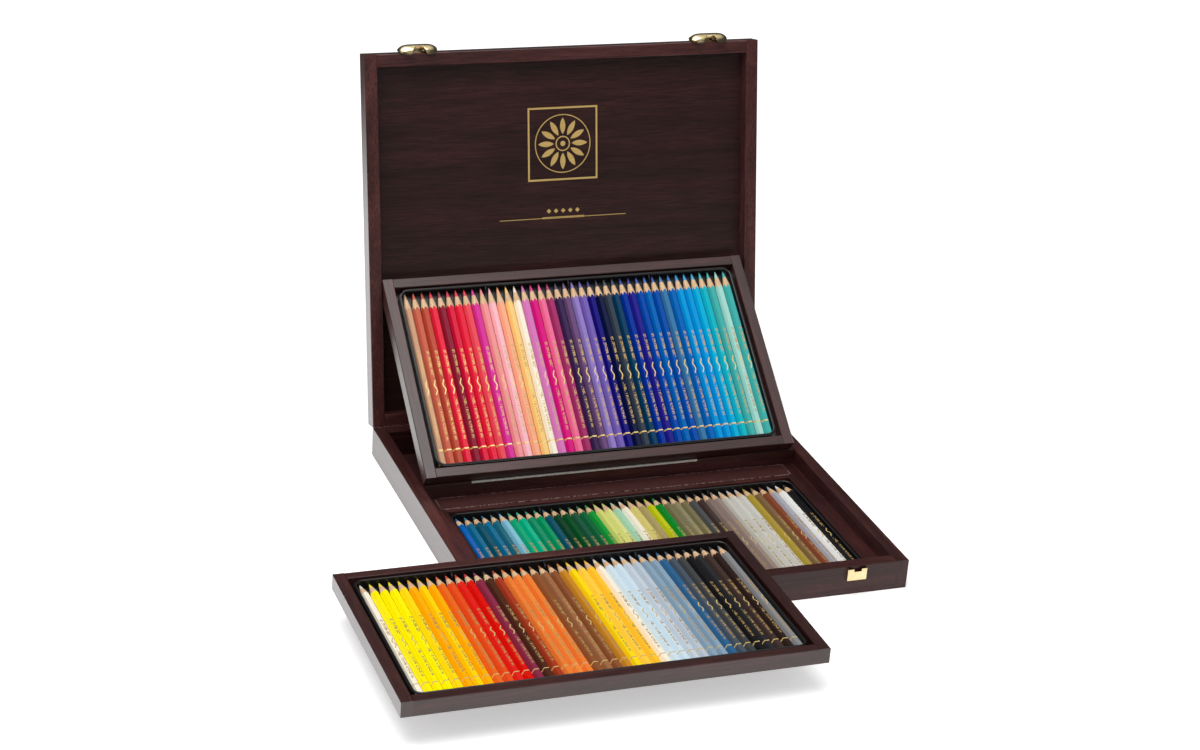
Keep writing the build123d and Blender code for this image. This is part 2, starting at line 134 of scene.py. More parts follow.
def linear(hexcode):
    """A hex sRGB colour as linear RGBA."""
    value = hexcode.lstrip("#")
    parts = [int(value[i:i + 2], 16) / 255 for i in (0, 2, 4)]
    return tuple(c / 12.92 if c <= 0.04045 else ((c + 0.055) / 1.055) ** 2.4 for c in parts) + (1.0,)


def paint(name):
    """A pigment's linear colour, lighter for each + after its name and darker for each -."""
    steps = name.count("+") - name.count("-")
    return tuple(c ** (0.8 ** steps) for c in linear(PIGMENTS[name.rstrip("+-")])[:3]) + (1.0,)


# -------------------- nodes


def feed(tree, node, inputs):
    """Links each input that is given as a socket and sets each that is given as a value."""
    for key, value in inputs.items():
        if isinstance(value, bpy.types.NodeSocket):
            tree.links.new(value, node.inputs[key])
        else:
            node.inputs[key].default_value = value


def add(tree, kind, inputs=None, **settings):
    """Adds a node with its settings and inputs."""
    node = tree.nodes.new(kind)
    for name, value in settings.items():
        setattr(node, name, value)
    feed(tree, node, inputs or {})
    return node


def maths(tree, operation, *values, clamp=False):
    """The result of a maths node."""
    return add(tree, "ShaderNodeMath", dict(enumerate(values)), operation=operation, use_clamp=clamp).outputs[0]


def vector(tree, x=0.0, y=0.0, z=0.0):
    """A vector made of sockets or numbers."""
    return add(tree, "ShaderNodeCombineXYZ", {0: x, 1: y, 2: z}).outputs[0]


def place_on_object(tree):
    """A point's place in the object's own coordinates, in metres."""
    return add(tree, "ShaderNodeTexCoord").outputs["Object"]


def stretch(tree, where, scale):
    """Coordinates scaled by a factor on each axis."""
    return add(tree, "ShaderNodeMapping", {"Vector": where, "Scale": scale}).outputs[0]


def noise(tree, where, scale=1.0, detail=2.0, roughness=0.5, distortion=0.0):
    """A noise pattern from 0 to 1."""
    return add(tree, "ShaderNodeTexNoise", {
        "Vector": where, "Scale": scale, "Detail": detail, "Roughness": roughness,
        "Distortion": distortion}).outputs["Fac"]


def ranged(tree, value, low, high, start=0.0, end=1.0, **settings):
    """A value that runs from low to high while the given one runs from start to end."""
    return add(tree, "ShaderNodeMapRange", {
        "Value": value, "From Min": start, "From Max": end, "To Min": low, "To Max": high}, **settings).outputs[0]


def blend_colours(tree, factor, first, second, mode="MIX"):
    """Mixes two colours, each a socket or an RGBA value."""
    return add(tree, "ShaderNodeMix", {0: factor, 6: first, 7: second}, data_type="RGBA", blend_type=mode,
               clamp_factor=True).outputs[2]


def bump(tree, height, strength, distance, under=None):
    """A normal raised by a pattern, over another normal if one is given."""
    inputs = {"Height": height, "Strength": strength, "Distance": distance}
    if under is not None:
        inputs["Normal"] = under
    return add(tree, "ShaderNodeBump", inputs).outputs[0]


def blank(name):
    """A node material with its surface shader, ready for a pattern."""
    material = bpy.data.materials.new(name)
    material.use_nodes = True
    return material, material.node_tree, material.node_tree.nodes["Principled BSDF"]


def empty_tree(name, inputs):
    """A modifier tree with named inputs after its geometry, the identifiers of its sockets and the input node."""
    tree = bpy.data.node_groups.new(name, "GeometryNodeTree")
    tree.is_modifier = True
    sockets = {}
    for label, kind in (("Geometry", "Geometry"),) + inputs:
        made = tree.interface.new_socket(name=label, in_out="INPUT", socket_type="NodeSocket" + kind)
        sockets[label] = made.identifier
    tree.interface.new_socket(name="Geometry", in_out="OUTPUT", socket_type="NodeSocketGeometry")
    return tree, sockets, add(tree, "NodeGroupInput").outputs


def shape_of(tree, thing):
    """The geometry of an object input."""
    return add(tree, "GeometryNodeObjectInfo", {"Object": thing}, transform_space="ORIGINAL").outputs["Geometry"]


def line_of_points(tree, count, start, pitch):
    """Points along X, a pitch apart."""
    return add(tree, "GeometryNodeMeshLine", {"Count": count, "Start Location": start,
                                              "Offset": vector(tree, pitch)}, mode="OFFSET").outputs[0]


def random_turn(tree, most, **inputs):
    """A random angle of up to the given one, either way."""
    return add(tree, "FunctionNodeRandomValue", {2: maths(tree, "MULTIPLY", most, -1.0), 3: most, **inputs},
               data_type="FLOAT").outputs[1]


def close_tree(tree, shape, material):
    """Makes the repeats real, gives them their material and ends the tree."""
    real = add(tree, "GeometryNodeRealizeInstances", {"Geometry": shape})
    coated = add(tree, "GeometryNodeSetMaterial", {"Geometry": real.outputs[0], "Material": material})
    add(tree, "NodeGroupOutput", {"Geometry": coated.outputs[0]})


# -------------------- objects


def dress(node_name, material):
    """Gives a CAD node its finish."""
    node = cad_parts[node_name]
    if not node.material_slots:
        node.data.materials.append(material)
    for slot in node.material_slots:
        slot.material = material


def linked(name, data):
    """A new object at the origin, linked to the scene."""
    thing = bpy.data.objects.new(name, data)
    bpy.context.scene.collection.objects.link(thing)
    return thing


def as_mesh(name, vertices, faces, smooth=False):
    """A new object at the origin from points and faces in metres."""
    mesh = bpy.data.meshes.new(name)
    mesh.from_pydata(vertices, [], faces)
    mesh.validate()
    mesh.polygons.foreach_set("use_smooth", [smooth] * len(mesh.polygons))
    return linked(name, mesh)


def outward(thing):
    """Turns a closed shape's faces outwards."""
    shape = bmesh.new()
    shape.from_mesh(thing.data)
    bmesh.ops.recalc_face_normals(shape, faces=shape.faces)
    shape.to_mesh(thing.data)
    shape.free()
    return thing


def prism(name, section, left, right):
    """A section in Y and Z drawn out along X, all in millimetres."""
    n = len(section)
    vertices = [(x * MM, y * MM, z * MM) for x in (left, right) for y, z in section]
    walls = [(i, (i + 1) % n, n + (i + 1) % n, n + i) for i in range(n)]
    return outward(as_mesh(name, vertices, walls + [tuple(range(n)), tuple(range(n, 2 * n))]))


def evaluated(name, tree, sockets, values):
    """A plain mesh object made by a node tree with the given inputs."""
    holder = linked(name + "_maker", bpy.data.meshes.new(name + "_maker"))
    modifier = holder.modifiers.new("maker", "NODES")
    modifier.node_group = tree
    for key, value in values.items():
        modifier[sockets[key]] = value
    graph = bpy.context.evaluated_depsgraph_get()
    graph.update()
    mesh = bpy.data.meshes.new_from_object(holder.evaluated_get(graph), preserve_all_data_layers=True,
                                           depsgraph=graph)
    bpy.data.objects.remove(holder)
    return linked(name, mesh)


# -------------------- finishes


def stained_wood(name, turn, tones, shift, coat):
    """Mahogany stained dark maroon under satin lacquer: fine straight pores and a faint ribbon figure.
    The grain follows the board's length, which the turn lays along X."""
    material, tree, shader = blank(name)
    board = add(tree, "ShaderNodeMapping", {
        "Vector": place_on_object(tree), "Location": (shift, shift * 0.37, 0.0), "Rotation": turn}).outputs[0]
    # Ribbon figure about 14 mm wide and 200 mm long.
    ribbon = noise(tree, stretch(tree, board, (5, 70, 70)), detail=4.0, roughness=0.55, distortion=0.6)
    # Fibres are 0.2 mm in the real wood; drawn 0.9 mm wide and 25 mm long so that they show.
    fibre = noise(tree, stretch(tree, board, (40, 1100, 1100)), detail=3.0, roughness=0.6, distortion=0.15)
    # Open pores, short dark dashes 1.6 mm apart and 9 mm long.
    cells = add(tree, "ShaderNodeTexVoronoi", {"Vector": stretch(tree, board, (110, 640, 640)), "Scale": 1.0,
                                               "Randomness": 1.0}).outputs["Distance"]
    pore = ranged(tree, cells, 1.0, 0.0, 0.08, 0.34)
    figure = add(tree, "ShaderNodeValToRGB", {"Fac": ribbon})
    ramp = figure.color_ramp.elements
    ramp[0].position, ramp[1].position = 0.30, 0.72
    ramp.new(0.5)
    for element, tone in zip(ramp, tones):
        element.color = linear(tone)
    streak = blend_colours(tree, ranged(tree, fibre, 0.0, 1.0, 0.32, 0.68), linear("#A89C9C"), linear("#FFFFFF"))
    streaked = blend_colours(tree, 1.0, figure.outputs["Color"], streak, "MULTIPLY")
    feed(tree, shader, {
        "Base Color": blend_colours(tree, maths(tree, "MULTIPLY", pore, 0.5), streaked, linear("#1A0F10")),
        "Roughness": ranged(tree, fibre, 0.31, 0.44),
        "Normal": bump(tree, maths(tree, "SUBTRACT", fibre, pore), 0.10, 0.0002),
        "IOR": 1.5, "Specular IOR Level": 0.3, "Coat Weight": coat, "Coat Roughness": 0.2, "Coat IOR": 1.6})
    return material


def formed_plastic(name, finish):
    """Black polystyrene sheet, vacuum formed: semi-gloss with a very fine pebble from the mould."""
    material, tree, shader = blank(name)
    place = place_on_object(tree)
    # Mould pebble about 0.6 mm across, and unevenness of the gloss about 17 mm across.
    pebble, cloud = noise(tree, place, 1600.0), noise(tree, place, 60.0)
    feed(tree, shader, {
        "Base Color": blend_colours(tree, cloud, linear(finish.plastic_hex), linear("#1B1C1F")),
        "Roughness": ranged(tree, cloud, 0.26, 0.42), "Normal": bump(tree, pebble, 0.06, 0.0001), "IOR": 1.55})
    return material


def polished_brass(name, finish, roughness):
    """Pressed brass, polished and lacquered: warm and almost mirror bright, with a trace of the polishing."""
    material, tree, shader = blank(name)
    place = place_on_object(tree)
    # Polishing lines run across the fitting, 0.5 mm apart; the tone changes over about 5 mm.
    lines, tarnish = noise(tree, stretch(tree, place, (90, 1900, 1900))), noise(tree, place, 220.0, 3.0)
    feed(tree, shader, {
        "Base Color": blend_colours(tree, tarnish, linear(finish.brass_hex), linear(finish.brass_light_hex)),
        "Roughness": ranged(tree, lines, roughness - 0.04, roughness + 0.08),
        "Normal": bump(tree, lines, 0.03, 0.0001), "Metallic": 1.0})
    return material


def stamped_gilt(name, finish):
    """Gilt foil stamped into the lacquer: soft metal sheen, a little broken by the grain under it."""
    material, tree, shader = blank(name)
    # The grain under the foil shows as breaks 0.9 mm wide.
    grain = noise(tree, stretch(tree, place_on_object(tree), (60, 1100, 1100)))
    feed(tree, shader, {
        "Base Color": blend_colours(tree, grain, linear("#C9A254"), linear(finish.gilt_hex)),
        "Normal": bump(tree, grain, 0.1, 0.0001), "Metallic": 0.3, "Roughness": 0.45})
    return material


def drawn_aluminium(name):
    """Thin drawn aluminium edge strip with small dents about 2.4 mm apart. Its brightness is a painted reflection:
    a near-white base with little metal, its tone following the dents.
    """
    material, tree, shader = blank(name)
    dents = noise(tree, place_on_object(tree), 420.0, 3.0)
    # Painted reflection: the near-white base colour with little metal stands in for the strip's bright reflection.
    feed(tree, shader, {
        "Base Color": blend_colours(tree, dents, linear("#C4C2BE"), linear("#FFFFFF")),
        "Roughness": ranged(tree, dents, 0.28, 0.5), "Normal": bump(tree, dents, 0.25, 0.0004), "Metallic": 0.15})
    return material


def pressed_leather(name):
    """Bonded leather strip dyed to the wood: shallow creases and edges rubbed lighter."""
    material, tree, shader = blank(name)
    place = place_on_object(tree)
    # Pebble grain 1.4 mm across, and creases about 4 mm apart.
    grain = add(tree, "ShaderNodeTexVoronoi", {"Vector": place, "Scale": 700.0}, feature="SMOOTH_F1")
    creases = noise(tree, place, 260.0, 4.0, distortion=1.5)
    dyed = blend_colours(tree, creases, linear("#2E1513"), linear("#4C2826"))
    # The two long edges and the ends are rubbed paler over the last 0.9 mm, unevenly.
    low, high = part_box("ledge_strip")
    split = add(tree, "ShaderNodeSeparateXYZ", {0: place}).outputs
    near = []
    for axis in (0, 1):
        middle, half = (low[axis] + high[axis]) / 2, (high[axis] - low[axis]) / 2
        apart = maths(tree, "ABSOLUTE", maths(tree, "SUBTRACT", split[axis], middle))
        near.append(ranged(tree, apart, 0.0, 1.0, half - 0.9 * MM, half))
    worn = maths(tree, "MULTIPLY", maths(tree, "MAXIMUM", *near), ranged(tree, creases, 0.0, 1.0, 0.42, 0.6))
    feed(tree, shader, {
        "Base Color": blend_colours(tree, worn, dyed, linear("#A58A84")),
        "Normal": bump(tree, creases, 0.3, 0.0006, bump(tree, grain.outputs["Distance"], 0.35, 0.0003)),
        "Roughness": 0.55, "Specular IOR Level": 0.3})
    return material


# The pencils' gilt print, in millimetres across the top flat and along the casing from its flat end.
SPECK_WIDTH, SPECK_LENGTH = 0.65, 0.8
SPECK_BLANKS = 0.42                       # share of the specks left out
RUN_GAP, RUN_LENGTH = 1.6, 13.5         # a run of specks takes up what its gap leaves
MARKS_ACROSS = (-0.85, 1.5)
LOWER_MARKS, UPPER_MARKS = (23.0, 65.0), (87.0, 113.0)
WAVE_ALONG, WAVE_ACROSS = (68.5, 83.5), (-1.9, 1.9)
WAVE_PHASE, WAVE_SWING, WAVE_MIDDLE, WAVE_HALF = 0.62, 0.75, 0.5, 0.5   # phase in radians per millimetre


def pencil_lacquer(name, sizes):
    """Glossy nitro lacquer over the hexagonal casing, with a gilt ring and a line of gilt marks on the top flat.
    The colour is the piece's own attribute; the marks follow its UV map."""
    material, tree, shader = blank(name)
    colour = add(tree, "ShaderNodeAttribute", attribute_name="lacquer").outputs["Color"]
    where = add(tree, "ShaderNodeUVMap", uv_map="casing").outputs[0]
    split = add(tree, "ShaderNodeSeparateXYZ", {"Vector": where}).outputs
    across, along = split[0], split[1]

    def both(first, second):
        return maths(tree, "MULTIPLY", first, second)

    def either(first, second):
        return maths(tree, "ADD", first, second, clamp=True)

    def band(value, span):
        """1 between two values, 0 outside them."""
        return both(maths(tree, "GREATER_THAN", value, span[0]), maths(tree, "LESS_THAN", value, span[1]))

    ring = band(along, (sizes.ring_from, sizes.ring_from + sizes.ring_width))
    # Printed marks: specks in rows, in runs parted by small gaps.
    speck = vector(tree, maths(tree, "SNAP", across, SPECK_WIDTH), maths(tree, "SNAP", along, SPECK_LENGTH))
    dice = add(tree, "ShaderNodeTexWhiteNoise", {"Vector": speck}, noise_dimensions="2D").outputs["Value"]
    stroke = maths(tree, "GREATER_THAN", dice, SPECK_BLANKS)
    inked = band(maths(tree, "MODULO", along, RUN_LENGTH), (RUN_GAP, RUN_LENGTH))
    runs = either(band(along, LOWER_MARKS), band(along, UPPER_MARKS))
    line = both(band(across, MARKS_ACROSS), both(stroke, both(inked, runs)))
    # One flowing wave, brighter and broader than the marks, between the two runs.
    swing = maths(tree, "SINE", both(along, WAVE_PHASE))
    centre = maths(tree, "MULTIPLY_ADD", swing, WAVE_SWING, WAVE_MIDDLE)
    apart = maths(tree, "ABSOLUTE", maths(tree, "SUBTRACT", across, centre))
    wave = both(both(maths(tree, "LESS_THAN", apart, WAVE_HALF), band(across, WAVE_ACROSS)),
                band(along, WAVE_ALONG))
    foil = either(ring, wave)
    # Specks of dust about 1 mm apart dim the lacquer a little.
    dust = noise(tree, place_on_object(tree), 900.0)
    dimmed = add(tree, "ShaderNodeVectorMath", {0: colour, "Scale": ranged(tree, dust, 0.95, 1.0, 0.3, 0.7)},
                 operation="SCALE").outputs[0]
    # The marks are thinner than the ring, and the lacquer shows through them.
    marked = blend_colours(tree, both(line, 0.85), dimmed, linear(sizes.marks_hex))
    feed(tree, shader, {
        "Base Color": blend_colours(tree, foil, marked, linear(sizes.gilt_hex)),
        "Metallic": both(either(foil, line), 0.35), "Roughness": ranged(tree, dust, 0.2, 0.28),
        "Normal": bump(tree, dust, 0.03, 0.0001), "IOR": 1.48, "Specular IOR Level": 0.2})
    return material


def sharpened_cedar(name):
    """Pencil cedar cut by a sharpener: bare pale wood with darker fibres along it."""
    material, tree, shader = blank(name)
    place = place_on_object(tree)
    # Fibres 0.7 mm wide and 8 mm long, over tints about 11 mm across.
    fibre = noise(tree, stretch(tree, place, (1500, 130, 1500)), detail=3.0)
    warm = blend_colours(tree, noise(tree, place, 90.0, 1.0), linear("#D9AE82"), linear("#EED3AE"))
    feed(tree, shader, {
        "Base Color": blend_colours(tree, ranged(tree, fibre, 0.35, 0.0, 0.35, 0.65), warm, linear("#B27F50")),
        "Normal": bump(tree, fibre, 0.15, 0.0002), "Roughness": 0.62})
    return material


def waxy_core(name):
    """Colour core of pigment and wax, cut to a point: soft sheen, marked by the sharpener about 1 mm apart."""
    material, tree, shader = blank(name)
    colour = add(tree, "ShaderNodeAttribute", attribute_name="lacquer").outputs["Color"]
    marks = noise(tree, place_on_object(tree), 1100.0)
    deeper = add(tree, "ShaderNodeHueSaturation", {"Color": colour, "Saturation": 1.1, "Value": 0.95}).outputs[0]
    feed(tree, shader, {
        "Base Color": blend_colours(tree, ranged(tree, marks, 0.0, 0.12), deeper, linear("#FFFFFF")),
        "Normal": bump(tree, marks, 0.1, 0.0001), "Roughness": 0.45})
    return material


# -------------------- sizes and colours a user may change


class BoardFinish(bpy.types.PropertyGroup):
    """Stain, plastic and brass."""
    wood_hex: StringProperty(name="Stain", description="Middle tone of the stained wood", default="#462422")
    wood_dark_hex: StringProperty(name="Dark stain", description="Darkest figure", default="#361A18")
    wood_light_hex: StringProperty(name="Light stain", description="Lightest figure", default="#5A312E")
    lid_hex: StringProperty(name="Lid stain", description="Middle tone of the lid's frame", default="#5A302E")
    lid_light_hex: StringProperty(name="Lid light stain", description="Lightest figure", default="#6B3E3B")
    panel_hex: StringProperty(name="Panel stain", description="Middle tone of the panels", default="#3A201E")
    panel_dark_hex: StringProperty(name="Panel dark", description="Darkest figure", default="#2E1715")
    plastic_hex: StringProperty(name="Plastic", description="Insert colour", default="#0E0F11")
    brass_hex: StringProperty(name="Brass", description="Fittings", default="#D8BC7E")
    brass_light_hex: StringProperty(name="Light brass", description="Polished parts", default="#F2E5BE")
    gilt_hex: StringProperty(name="Gilt", description="Lid ornament", default="#E8CA84")


class PencilSizes(bpy.types.PropertyGroup):
    """Sizes of one pencil, in millimetres."""
    length: FloatProperty(name="Length", description="Flat end to point (mm)", default=175.0, min=60)
    flats: FloatProperty(name="Across flats", description="Casing (mm)", default=6.8, min=3)
    cone: FloatProperty(name="Cone", description="Length of the sharpened cone (mm)", default=19.0, min=5)
    tip: FloatProperty(name="Point", description="Radius of the worn point (mm)", default=0.5, min=0.1)
    core: FloatProperty(name="Core", description="Length of bare colour core (mm)", default=7.5, min=1)
    pitch: FloatProperty(name="Pitch", description="Pencil to pencil (mm)", default=8.03, min=4)
    roll: FloatProperty(name="Roll", description="Largest turn of a pencil in its cradle",
                        default=math.radians(1.2), subtype="ANGLE")
    seed: IntProperty(name="Seed", description="Seed of the small turns", default=7)
    ring_from: FloatProperty(name="Ring place", description="Flat end to gilt ring (mm)", default=13.4)
    ring_width: FloatProperty(name="Ring width", description="Gilt ring (mm)", default=1.3, min=0.2)
    gilt_hex: StringProperty(name="Gilt", description="Ring and wave", default="#F0D28A")
    marks_hex: StringProperty(name="Marks", description="Printed specks", default="#CDAB6C")


class InsertSizes(bpy.types.PropertyGroup):
    """Rolled lip and ribs of the inserts, in millimetres."""
    width: FloatProperty(name="Width", description="Side to side (mm)", default=326.02, min=50)
    depth: FloatProperty(name="Depth", description="Front to back (mm)", default=179.2, min=50)
    height: FloatProperty(name="Height", description="Top of the wall (mm)", default=8.5, min=2)
    corner: FloatProperty(name="Corner", description="Outer radius (mm)", default=9.0, min=2)
    bead: FloatProperty(name="Lip", description="Radius of the rolled lip (mm)", default=1.0, min=0.2)
    ribs: IntProperty(name="Ribs", description="Along the back wall", default=3, min=1)
    rib_pitch: FloatProperty(name="Rib pitch", description="Ten pencils (mm)", default=80.3, min=5)


class FittingSizes(bpy.types.PropertyGroup):
    """Small brass hardware, in millimetres."""
    screw_head: FloatProperty(name="Screw head", description="Radius (mm)", default=1.35, min=0.3)
    screw_dome: FloatProperty(name="Screw dome", description="Height (mm)", default=0.12, min=0.05)
    slot_width: FloatProperty(name="Screw slot", description="Width (mm)", default=0.4, min=0.1)
    bow_width: FloatProperty(name="Bow", description="Width of a clasp's bow (mm)", default=35.0, min=10)
    bow_wall: FloatProperty(name="Bow wall", description="Thickness (mm)", default=1.3, min=0.3)
    arch: FloatProperty(name="Arch", description="Half the gap between the lobes (mm)", default=6.2, min=1)


class EmblemSizes(bpy.types.PropertyGroup):
    """Gilt ornament on the lid's panel, in millimetres."""
    rise: FloatProperty(name="Height", description="Centre above the hinge (mm)", default=250.5)
    reach: FloatProperty(name="Reach", description="Half of the square frame (mm)", default=34.0, min=5)
    frame_line: FloatProperty(name="Frame line", description="Width (mm)", default=1.7, min=0.2)
    line_rise: FloatProperty(name="Line", description="Thin line above the hinge (mm)", default=181.6)
    line_length: FloatProperty(name="Line length", description="Thin line (mm)", default=123.8)
    leaf: FloatProperty(name="Leaf", description="Thickness of the gilt (mm)", default=0.05)


class StageLight(bpy.types.PropertyGroup):
    """Lamps, floor and camera."""
    key: FloatProperty(name="Key", description="Large lamp overhead", default=30.0, subtype="POWER")
    side: FloatProperty(name="Side", description="Lamp on the left", default=3.0, subtype="POWER")
    front: FloatProperty(name="Front", description="Low lamp in front", default=2.2, subtype="POWER")
    air: FloatProperty(name="Ambient", description="Even light from all round", default=0.38)
    room: FloatProperty(name="Room", description="What polished surfaces see of the room", default=0.05)
    lift: FloatProperty(name="Floor lift", description="Keeps the floor near the box white", default=0.45)
    focal: FloatProperty(name="Focal length", description="Lens (mm)", default=78.82)


# -------------------- pencils


def pencil_shape(sizes):
    """One pencil along Y from its flat end, on its flat at z = 0: casing, scalloped cone, core and tip."""
    half = sizes.flats / 2
    corner = half / math.cos(math.pi / 6)
    steps = 4                           # points across each flat
    bevel, worn, blunt = 0.35, 0.3, 0.55    # flat end's bevel, the point's wear and its share of the tip
    slope = (corner - sizes.tip) / sizes.cone
    core_radius = sizes.tip + sizes.core * slope
    rings = []
    for flat in range(6):
        for step in range(steps):
            angle = math.radians(-30 + 60 * step / steps)
            radius = half / math.cos(angle)
            bearing = angle + math.radians(60 * flat)
            rings.append((radius, bearing, half * math.tan(angle), flat))
    count = len(rings)

    def point(radius, bearing, along):
        return (radius * math.sin(bearing) * MM, along * MM, (half + radius * math.cos(bearing)) * MM)

    # Radius and distance from the flat end round each level: bevel, casing, the cone's cut, core and point.
    levels = [[(radius - bevel, 0.0) for radius, *_ in rings], [(radius, bevel) for radius, *_ in rings],
              [(radius, sizes.length - (radius - sizes.tip) / slope) for radius, *_ in rings]]
    for radius, end in ((core_radius, sizes.length - sizes.core), (sizes.tip, sizes.length - worn),
                        (sizes.tip * blunt, sizes.length)):
        levels.append([(radius, end)] * count)
    vertices = [point(radius, ring[1], along) for level in levels for (radius, along), ring in zip(level, rings)]
    alongs = [along for level in levels for _, along in level]
    casing_kind, cone_kind, core_kind = range(3)
    faces, kinds, flats = [], [], []
    for level, kind in enumerate((casing_kind, casing_kind, cone_kind, core_kind, core_kind)):
        a, b = level * count, (level + 1) * count
        for i in range(count):
            j = (i + 1) % count
            faces.append((a + i, b + i, b + j, a + j))
            kinds.append(kind)
            flats.append(rings[i][3])
    last = (len(levels) - 1) * count
    faces += [tuple(range(count)), tuple(last + i for i in reversed(range(count)))]
    kinds += [casing_kind, core_kind]
    flats += [0, 0]
    pattern = as_mesh("pencil_pattern", vertices, faces)
    mesh = pattern.data
    mesh.attributes.new("kind", "INT", "FACE").data.foreach_set("value", kinds)
    casing = mesh.uv_layers.new(name="casing")
    for face in mesh.polygons:
        flat = flats[face.index]
        for loop in face.loop_indices:
            index = mesh.loops[loop].vertex_index
            position = index % count
            across = rings[position][2]
            if rings[position][3] != flat:     # the corner shared with the next flat
                across = half * math.tan(math.radians(30))
            casing.data[loop].uv = (across + 20 * flat, alongs[index] if face.index < len(faces) - 2 else -5)
    smooth = [kinds[f] > 0 and f < len(faces) - 1 for f in range(len(faces))]
    mesh.polygons.foreach_set("use_smooth", smooth)
    return pattern


def pencil_row_tree(lacquer, cedar, core, axis):
    """Lays pencils side by side along X, each turned a little in its cradle about its axis."""
    tree, sockets, given = empty_tree("pencil_row", (
        ("Pencil", "Object"), ("Count", "Int"), ("Pitch", "Float"), ("First", "Int"), ("Roll", "Float"),
        ("Seed", "Int")))
    start = vector(tree, maths(tree, "MULTIPLY", given["First"], given["Pitch"]))
    line = line_of_points(tree, given["Count"], start, given["Pitch"])
    index = add(tree, "GeometryNodeInputIndex").outputs[0]
    number = add(tree, "FunctionNodeIntegerMath", {0: index, 1: given["First"]}, operation="ADD").outputs[0]
    turn = random_turn(tree, given["Roll"], ID=number, Seed=given["Seed"])
    placed = add(tree, "GeometryNodeInstanceOnPoints", {
        "Points": line, "Instance": shape_of(tree, given["Pencil"])})
    turned = add(tree, "GeometryNodeRotateInstances", {
        "Instances": placed.outputs[0], "Rotation": vector(tree, y=turn), "Pivot Point": (0, 0, axis)})
    numbered = add(tree, "GeometryNodeStoreNamedAttribute", {
        "Geometry": turned.outputs[0], "Name": "number", "Value": number}, data_type="INT", domain="INSTANCE")
    shape = add(tree, "GeometryNodeRealizeInstances", {"Geometry": numbered.outputs[0]}).outputs[0]
    kind = add(tree, "GeometryNodeInputNamedAttribute", {"Name": "kind"}, data_type="INT").outputs[0]
    for value, material in enumerate((lacquer, cedar, core)):
        chosen = add(tree, "FunctionNodeCompare", {2: kind, 3: value}, data_type="INT", operation="EQUAL")
        shape = add(tree, "GeometryNodeSetMaterial", {
            "Geometry": shape, "Selection": chosen.outputs[0], "Material": material}).outputs[0]
    add(tree, "NodeGroupOutput", {"Geometry": shape})
    return tree, sockets


class PBOX_OT_pencils(bpy.types.Operator):
    """Lays the three rows of pencils in their inserts."""
    bl_idname = "pbox.pencils"
    bl_label = "Pencils"

    def execute(self, context):
        sizes = context.scene.pbox_pencils
        pattern = pencil_shape(sizes)
        tree, sockets = pencil_row_tree(pencil_lacquer("nitro_lacquer", sizes), sharpened_cedar("sharpened_cedar"),
                                        waxy_core("waxy_colour_core"), sizes.flats / 2 * MM)
        for row, (place, body, families) in ROWS.items():
            in_row = sum(count for _, count in families)
            first = 0
            for family, count in families:
                name = f"{row}_{family}"
                pencils = evaluated(name + "_pencils", tree, sockets, {
                    "Pencil": pattern, "Count": count, "Pitch": sizes.pitch * MM, "First": first,
                    "Roll": sizes.roll, "Seed": sizes.seed})
                numbers = pencils.data.attributes["number"].data
                coats = pencils.data.attributes.new("lacquer", "FLOAT_COLOR", "POINT").data
                for coat, number in zip(coats, numbers):
                    coat.color = paint(ROW_COLOURS[row][number.value])
                shift = Vector((-(in_row - 1) / 2 * sizes.pitch, FLAT_END, CRADLE_TOP)) * MM
                pencils.data.transform(place @ Matrix.Translation(shift))
                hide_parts(name)
                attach(pencils, body)
                first += count
        bpy.data.objects.remove(pattern)
        return {"FINISHED"}


# -------------------- boards, inserts, strips and brass


